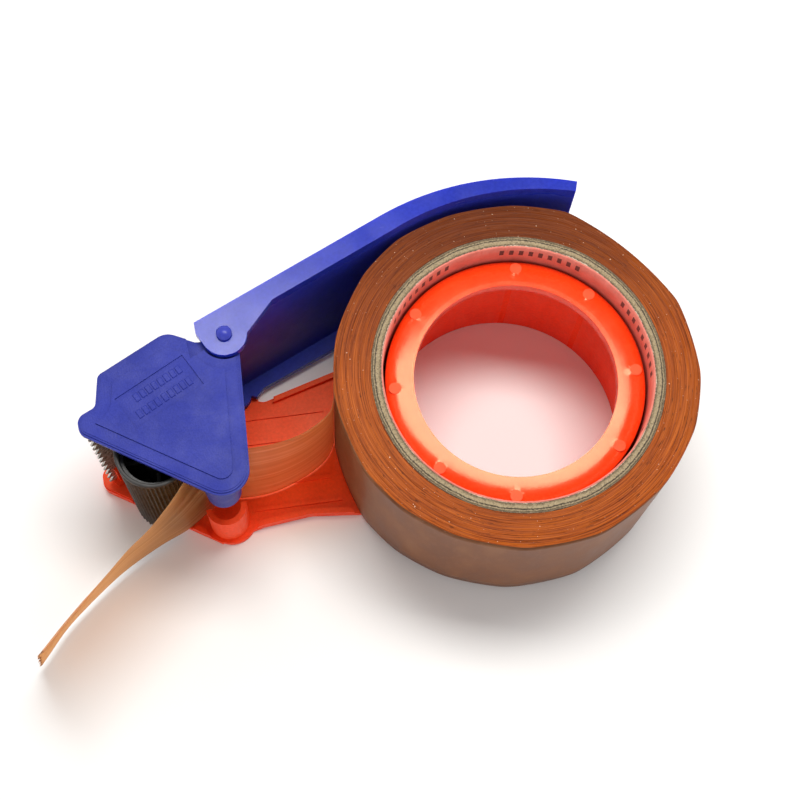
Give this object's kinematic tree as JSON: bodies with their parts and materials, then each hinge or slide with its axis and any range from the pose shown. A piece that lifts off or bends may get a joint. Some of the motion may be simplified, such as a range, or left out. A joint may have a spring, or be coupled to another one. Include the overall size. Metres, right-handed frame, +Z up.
{
  "type": "tape gun dispenser",
  "caption": "Hand-held packing tape gun with a hub for the tape roll, a hinged curved handle, a ribbed feed roller, a toothed blade and a loaded roll.",
  "frame": {"origin": "on the axis of the tape hub, in the plane of the flat underside of the base frame", "axes": "+Z up along the hub axis from the underside to the cover side, the short way through the object; +X along the object's length from the blade towards the roll; the handle is on the +Y side"},
  "size_m": [0.1923, 0.1167, 0.0563],
  "materials": {
    "frame_plastic": "glossy moulded orange-red plastic",
    "cover_plastic": "fine-grained matte blue plastic",
    "handle_plastic": "glossy moulded blue plastic",
    "pin_plastic": "glossy blue plastic",
    "steel": "zinc-plated steel",
    "roller_plastic": "black moulded plastic",
    "roller_rubber": "dark grey rubber with axial grooves",
    "washer_plastic": "natural nylon",
    "blade_steel": "stamped steel with a mottled grey surface",
    "core_cardboard": "spiral-wound grey-brown board, cut ends",
    "liner_paper": "thin pinkish inner paper with plain marks",
    "tape_side": "brown wound film, fine concentric lines on its cut side",
    "tape_film": "thin translucent brown film"
  },
  "bodies": {
    "frame": {"base_frame": "frame_plastic", "cover_plate": "cover_plastic", "hinge_pin": "pin_plastic", "hinge_pin_clip": "steel", "roller_axle": "steel", "roller_washers": "washer_plastic", "blade": "blade_steel", "blade_rivets": "steel", "cover_screws": "steel", "tape_web": "tape_film", "tape_tail": "tape_film"},
    "handle_lever": {"handle": "handle_plastic"},
    "roll": {"tape_core": "core_cardboard", "core_liner": "liner_paper", "tape_winding": "tape_side"},
    "feed_roller": {"roller_core": "roller_plastic", "roller_sleeve": "roller_rubber"}
  },
  "joints": [
    {"name": "handle_pivot", "type": "hinge", "parent": "frame", "child": "handle_lever", "pos_m": [-0.08, 0.0202, 0], "axis": [0, 0, 1], "range_deg": [0, 24]},
    {"name": "roll_spin", "type": "hinge", "parent": "frame", "child": "roll", "pos_m": [0, 0, 0], "axis": [0, 0, 1], "continuous": true},
    {"name": "roller_spin", "type": "hinge", "parent": "frame", "child": "feed_roller", "pos_m": [-0.1029, -0.0089, 0], "axis": [0, 0, 1], "continuous": true}
  ],
  "couplings": [
    {"joint": "roll_spin", "follows": "roller_spin", "ratio": -0.205}
  ]
}
